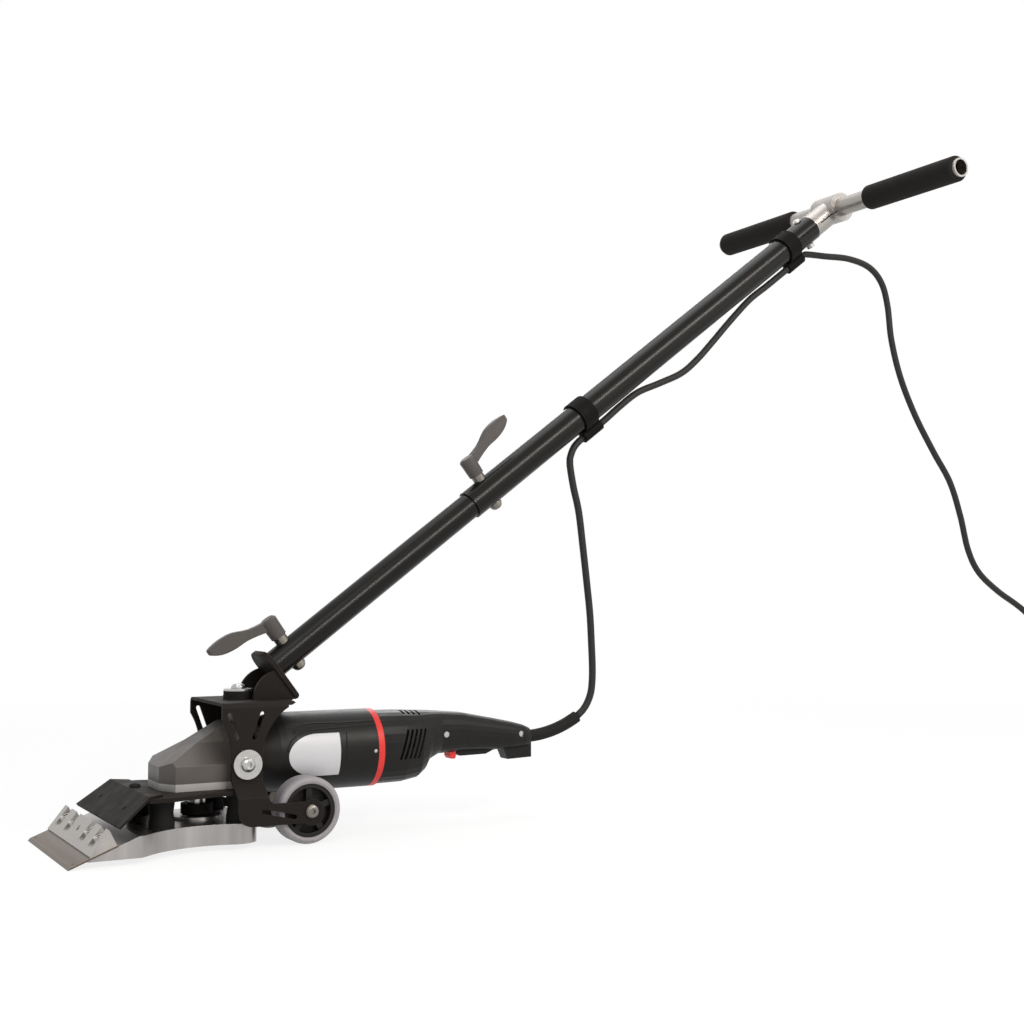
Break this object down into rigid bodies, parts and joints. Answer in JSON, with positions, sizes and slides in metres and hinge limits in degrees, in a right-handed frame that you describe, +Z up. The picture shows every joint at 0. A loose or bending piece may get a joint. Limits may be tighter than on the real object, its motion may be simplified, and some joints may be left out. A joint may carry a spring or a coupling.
{
  "type": "power scraper",
  "caption": "Long-handled floor scraper: a motor drives a wide blade through an eccentric, on wheels, with a telescoping pole, crossbar grips and a mains cord.",
  "frame": {"origin": "on the floor, midway between the blade's edge and the back of the crossbar's tee, on the middle plane", "axes": "+X from the blade to the crossbar, +Y to the left of someone pushing it, +Z up"},
  "size_m": [1.652, 0.432, 0.7386],
  "materials": {
    "cast_grey": "satin cast alloy",
    "cover_grey": "satin cast alloy",
    "black_plastic": "satin moulded plastic",
    "red_plastic": "satin moulded plastic",
    "label": "bare plate",
    "steel": "bright zinc",
    "blade_steel": "rolled spring steel",
    "laminations": "varnished sheets",
    "copper": "turned copper",
    "carbon": "pressed carbon",
    "black_steel": "black powder coat",
    "rubber": "matt moulded rubber",
    "milled_aluminium": "milled",
    "black_tube": "black anodised",
    "lever_grey": "die cast, dark grey",
    "foam": "closed-cell foam",
    "wheel_hub": "moulded hub",
    "tyre_grey": "grey rubber tyre",
    "zinc_beige": "yellow zinc",
    "cord_black": "rubber sheath",
    "plug_black": "moulded plug"
  },
  "bodies": {
    "frame": {"gear_housing": "cast_grey", "gear_cover": "cover_grey", "motor_housing": "black_plastic", "accent_ring": "red_plastic", "handle_shell_left": "black_plastic", "handle_shell_right": "black_plastic", "shell_screws": "steel", "cord_sleeve": "rubber", "label_plate": "label", "stator": "laminations", "carbon_brushes": "carbon", "shaft_bearings": "steel", "switch_block": "black_plastic", "mount_plate": "black_steel", "rubber_buffers": "rubber", "front_guard": "black_steel", "guard_screw": "black_steel", "frame_bracket": "black_steel", "bracket_screws": "steel", "bracket_washers": "steel", "damper_discs": "rubber", "handle_socket": "black_steel", "socket_bolt": "zinc_beige", "lower_tube": "black_tube", "lower_stud": "steel", "axle_bolts": "steel", "cord_lower": "cord_black", "cord_tail": "cord_black", "cord_coil": "cord_black", "mains_plug": "plug_black"},
    "armature": {"armature_shaft": "steel", "armature_core": "laminations", "commutator": "copper", "cooling_fan": "black_plastic", "drive_pinion": "steel"},
    "spindle": {"crown_gear": "steel", "spindle": "steel", "eccentric": "black_steel"},
    "scraper": {"scraper_arm": "milled_aluminium", "blade": "blade_steel", "blade_clamp": "milled_aluminium", "clamp_screws": "steel", "eccentric_bearing": "steel"},
    "wheel_left": {"wheel_rim_left": "wheel_hub", "wheel_tyre_left": "tyre_grey"},
    "wheel_right": {"wheel_rim_right": "wheel_hub", "wheel_tyre_right": "tyre_grey"},
    "trigger": {"trigger": "black_plastic"},
    "lock_catch": {"lock_catch": "red_plastic"},
    "upper_pole": {"upper_tube": "black_tube", "upper_stud": "steel", "tee_connector": "milled_aluminium", "tee_bolt": "steel", "handlebar": "milled_aluminium", "foam_grips": "foam", "cable_clips": "black_plastic", "cord_middle": "cord_black"},
    "upper_lever": {"upper_lever": "lever_grey"},
    "lower_lever": {"lower_lever": "lever_grey"}
  },
  "joints": [
    {"name": "armature_spin", "type": "hinge", "parent": "frame", "child": "armature", "pos_m": [-0.24438, 0, 0.0818], "axis": [1, 0, 0], "continuous": true},
    {"name": "spindle_spin", "type": "hinge", "parent": "frame", "child": "spindle", "pos_m": [-0.34437, 0, 0.06], "axis": [0, 0, 1], "continuous": true},
    {"name": "arm_stroke", "type": "slide", "parent": "frame", "child": "scraper", "axis": [1, 0, 0], "range_m": [-0.001, 0.001], "stiffness_N_per_m": 5000, "deforming": ["rubber_buffers"]},
    {"name": "wheel_left_spin", "type": "hinge", "parent": "frame", "child": "wheel_left", "pos_m": [-0.25338, 0.0537, 0.032], "axis": [0, 1, 0], "continuous": true},
    {"name": "wheel_right_spin", "type": "hinge", "parent": "frame", "child": "wheel_right", "pos_m": [-0.25338, -0.0537, 0.032], "axis": [0, 1, 0], "continuous": true},
    {"name": "trigger_press", "type": "hinge", "parent": "frame", "child": "trigger", "pos_m": [-0.01837, 0, 0.076], "axis": [0, 1, 0], "range_deg": [0, 6], "stiffness_Nm_per_rad": 0.4, "springref_deg": -5.73},
    {"name": "lock_slide", "type": "slide", "parent": "frame", "child": "lock_catch", "axis": [1, 0, 0], "range_m": [-0.003, 0], "stiffness_N_per_m": 300, "springref_m": 0.001},
    {"name": "telescope", "type": "slide", "parent": "frame", "child": "upper_pole", "axis": [0.7986, 0, 0.6018], "range_m": [0, 0.18], "deforming": ["cord_lower", "cord_tail"]},
    {"name": "upper_lever_turn", "type": "hinge", "parent": "upper_pole", "child": "upper_lever", "pos_m": [-0.02648, 0, 0.34924], "axis": [-0.6018, 0, 0.7986], "range_deg": [0, 180]},
    {"name": "lower_lever_turn", "type": "hinge", "parent": "frame", "child": "lower_lever", "pos_m": [-0.2505, 0, 0.18043], "axis": [-0.6018, 0, 0.7986], "range_deg": [0, 180]}
  ],
  "couplings": [
    {"joint": "spindle_spin", "follows": "armature_spin", "ratio": 0.25}
  ]
}
